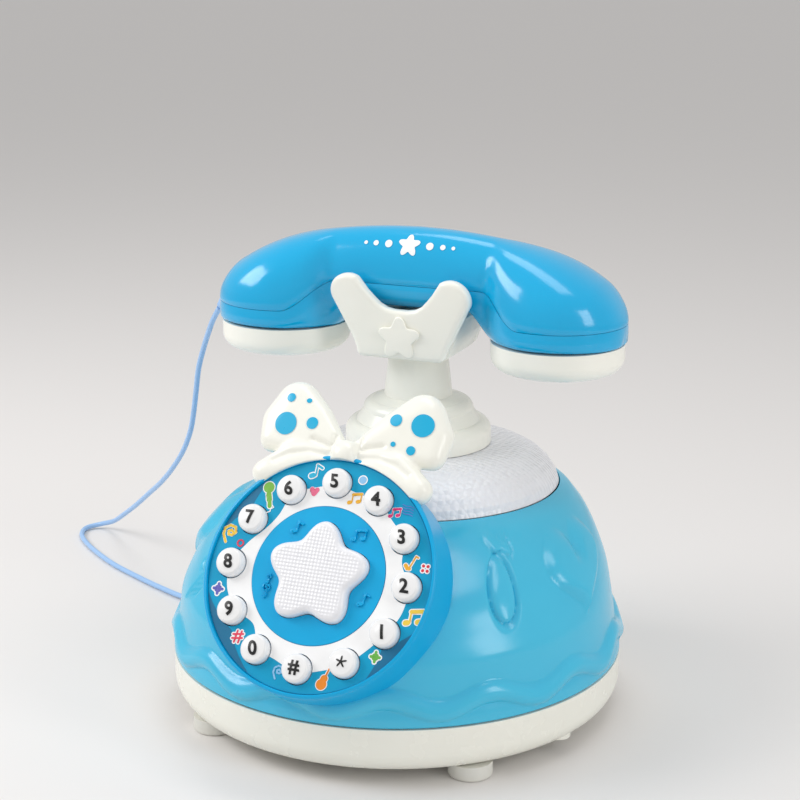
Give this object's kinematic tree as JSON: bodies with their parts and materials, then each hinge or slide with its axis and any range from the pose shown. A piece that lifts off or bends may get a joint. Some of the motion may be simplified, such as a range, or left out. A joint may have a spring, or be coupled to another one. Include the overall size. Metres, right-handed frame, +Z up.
{
  "type": "toy telephone",
  "caption": "Child's desk telephone: round body on feet, tilted ring of push buttons, star lamp button, bow, lamp dome and a corded handset in a forked cradle.",
  "frame": {"origin": "middle of the footprint, on the ground under the feet", "axes": "+Z up, -Y the front that the dial faces, +X to the right of a person facing the dial"},
  "size_m": [0.2926, 0.2181, 0.175],
  "materials": {
    "tray_white": "gloss moulded",
    "shell_blue": "gloss moulded",
    "deep_blue": "gloss moulded",
    "label_film": "printed film",
    "button_white": "gloss moulded",
    "star_lens": "dimpled translucent",
    "lamp_lens": "pebbled translucent",
    "trim_white": "gloss moulded",
    "foot_rubber": "matt",
    "cord_pvc": "satin",
    "screw_steel": "zinc plated",
    "board": "solder mask",
    "mat_rubber": "matt",
    "led": "clear",
    "dark_plastic": "matt",
    "cell": "painted can",
    "contact": "nickel plated"
  },
  "bodies": {
    "base": {"base_tray": "tray_white", "feet": "foot_rubber", "body_shell": "shell_blue", "dial_bezel": "deep_blue", "dial_label": "label_film", "dial_back": "deep_blue", "dial_screws": "screw_steel", "keypad_mat": "mat_rubber", "keypad_board": "board", "star_leds": "led", "bow": "trim_white", "lamp_dome": "lamp_lens", "lamp_board": "board", "lamp_leds": "led", "collar": "trim_white", "neck_post": "trim_white", "stack_screw": "screw_steel", "cradle_front": "trim_white", "cradle_rear": "trim_white", "cradle_screws": "screw_steel", "cord": "cord_pvc", "tray_grommet": "cord_pvc", "main_board": "board", "board_screws": "screw_steel", "speaker": "dark_plastic", "battery_cells": "cell", "battery_contacts": "contact", "battery_door": "tray_white", "door_screw": "screw_steel", "case_screws": "screw_steel", "switch_body": "dark_plastic"},
    "handset": {"handset_upper": "deep_blue", "handset_lower": "deep_blue", "ear_cap": "trim_white", "mouth_cap": "trim_white", "earpiece_speaker": "dark_plastic", "handset_screws": "screw_steel", "handset_grommet": "cord_pvc"},
    "star": {"star_button": "star_lens"},
    "switch": {"switch_knob": "dark_plastic"},
    "key_5": {"button_5": "button_white"},
    "key_4": {"button_4": "button_white"},
    "key_3": {"button_3": "button_white"},
    "key_2": {"button_2": "button_white"},
    "key_1": {"button_1": "button_white"},
    "key_star": {"button_star": "button_white"},
    "key_hash": {"button_hash": "button_white"},
    "key_0": {"button_0": "button_white"},
    "key_9": {"button_9": "button_white"},
    "key_8": {"button_8": "button_white"},
    "key_7": {"button_7": "button_white"},
    "key_6": {"button_6": "button_white"}
  },
  "joints": [
    {"name": "handset_lift", "type": "slide", "parent": "base", "child": "handset", "axis": [0, 0, 1], "range_m": [0, 0.06]},
    {"name": "press_5", "type": "slide", "parent": "base", "child": "key_5", "axis": [0, 0.8434, -0.5373], "range_m": [0, 0.0015], "stiffness_N_per_m": 500},
    {"name": "press_4", "type": "slide", "parent": "base", "child": "key_4", "axis": [0, 0.8434, -0.5373], "range_m": [0, 0.0015], "stiffness_N_per_m": 500},
    {"name": "press_3", "type": "slide", "parent": "base", "child": "key_3", "axis": [0, 0.8434, -0.5373], "range_m": [0, 0.0015], "stiffness_N_per_m": 500},
    {"name": "press_2", "type": "slide", "parent": "base", "child": "key_2", "axis": [0, 0.8434, -0.5373], "range_m": [0, 0.0015], "stiffness_N_per_m": 500},
    {"name": "press_1", "type": "slide", "parent": "base", "child": "key_1", "axis": [0, 0.8434, -0.5373], "range_m": [0, 0.0015], "stiffness_N_per_m": 500},
    {"name": "press_star", "type": "slide", "parent": "base", "child": "key_star", "axis": [0, 0.8434, -0.5373], "range_m": [0, 0.0015], "stiffness_N_per_m": 500},
    {"name": "press_hash", "type": "slide", "parent": "base", "child": "key_hash", "axis": [0, 0.8434, -0.5373], "range_m": [0, 0.0015], "stiffness_N_per_m": 500},
    {"name": "press_0", "type": "slide", "parent": "base", "child": "key_0", "axis": [0, 0.8434, -0.5373], "range_m": [0, 0.0015], "stiffness_N_per_m": 500},
    {"name": "press_9", "type": "slide", "parent": "base", "child": "key_9", "axis": [0, 0.8434, -0.5373], "range_m": [0, 0.0015], "stiffness_N_per_m": 500},
    {"name": "press_8", "type": "slide", "parent": "base", "child": "key_8", "axis": [0, 0.8434, -0.5373], "range_m": [0, 0.0015], "stiffness_N_per_m": 500},
    {"name": "press_7", "type": "slide", "parent": "base", "child": "key_7", "axis": [0, 0.8434, -0.5373], "range_m": [0, 0.0015], "stiffness_N_per_m": 500},
    {"name": "press_6", "type": "slide", "parent": "base", "child": "key_6", "axis": [0, 0.8434, -0.5373], "range_m": [0, 0.0015], "stiffness_N_per_m": 500},
    {"name": "star_press", "type": "slide", "parent": "base", "child": "star", "axis": [0, 0.8434, -0.5373], "range_m": [0, 0.0015], "stiffness_N_per_m": 800},
    {"name": "switch_slide", "type": "slide", "parent": "base", "child": "switch", "axis": [1, 0, 0], "range_m": [0, 0.003]}
  ]
}
